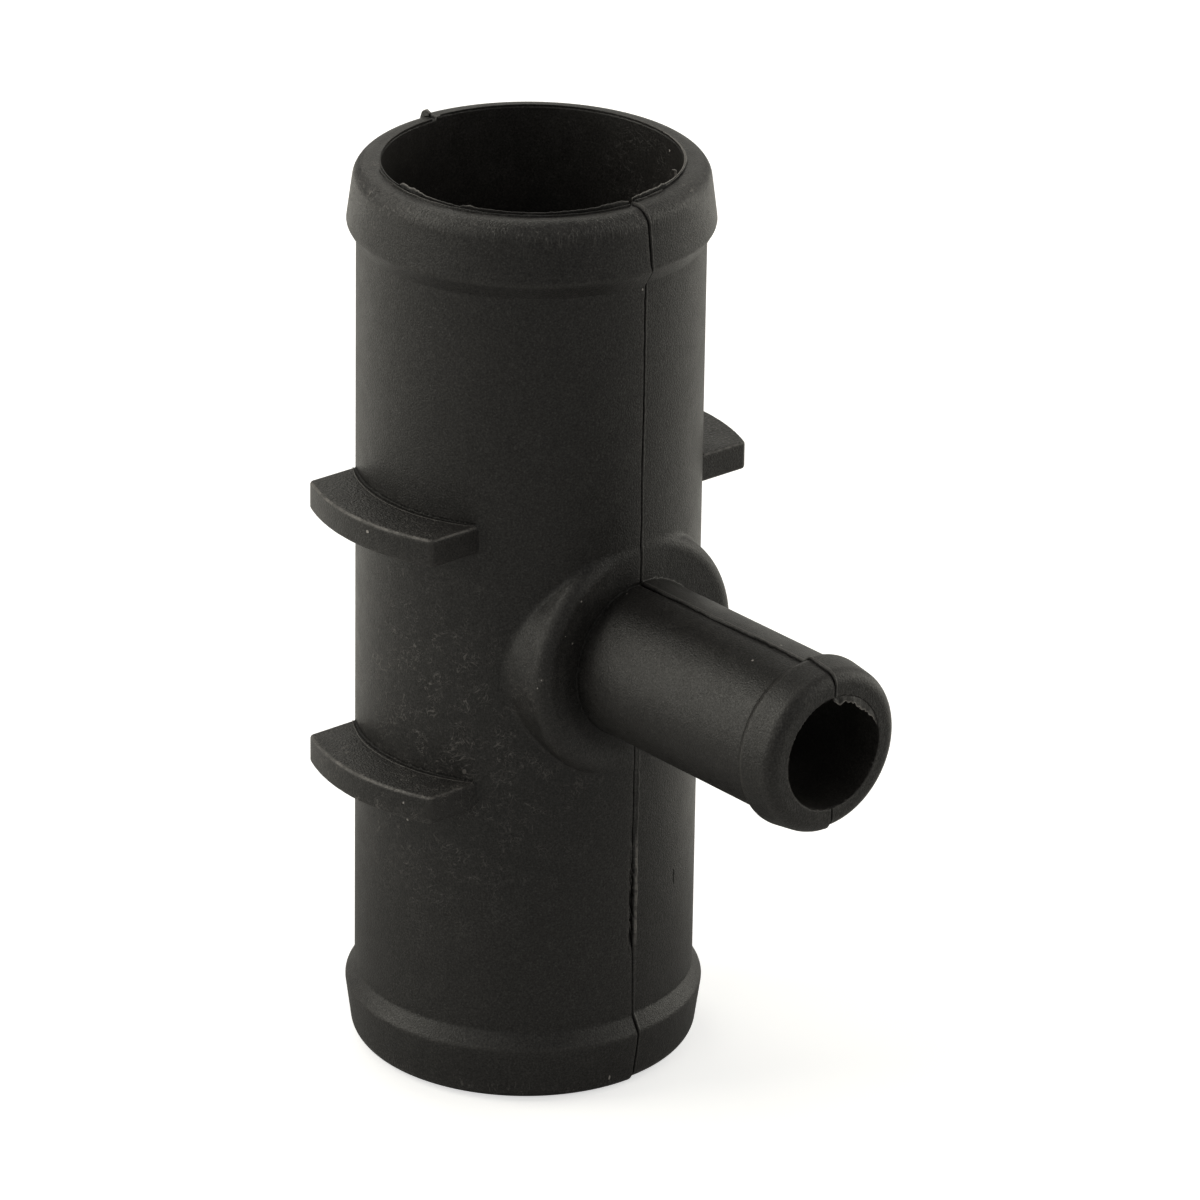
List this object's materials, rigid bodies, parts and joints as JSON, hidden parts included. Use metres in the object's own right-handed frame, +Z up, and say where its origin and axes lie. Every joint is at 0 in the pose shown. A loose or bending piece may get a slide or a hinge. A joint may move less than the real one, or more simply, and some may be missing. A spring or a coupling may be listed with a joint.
{
  "type": "radiator hose connector",
  "caption": "Moulded plastic reducing tee that joins coolant hoses: a straight main tube with beaded ends and hose stops, and a smaller beaded branch on a round boss.",
  "frame": {"origin": "centre of the main tube's lower end face, on the main tube's axis", "axes": "+Z up along the main tube, +X along the branch, Y across the mould's parting plane"},
  "size_m": [0.0652, 0.0454, 0.096],
  "materials": {
    "black_plastic": "satin"
  },
  "bodies": {
    "root": {"connector_body": "black_plastic"}
  },
  "joints": []
}
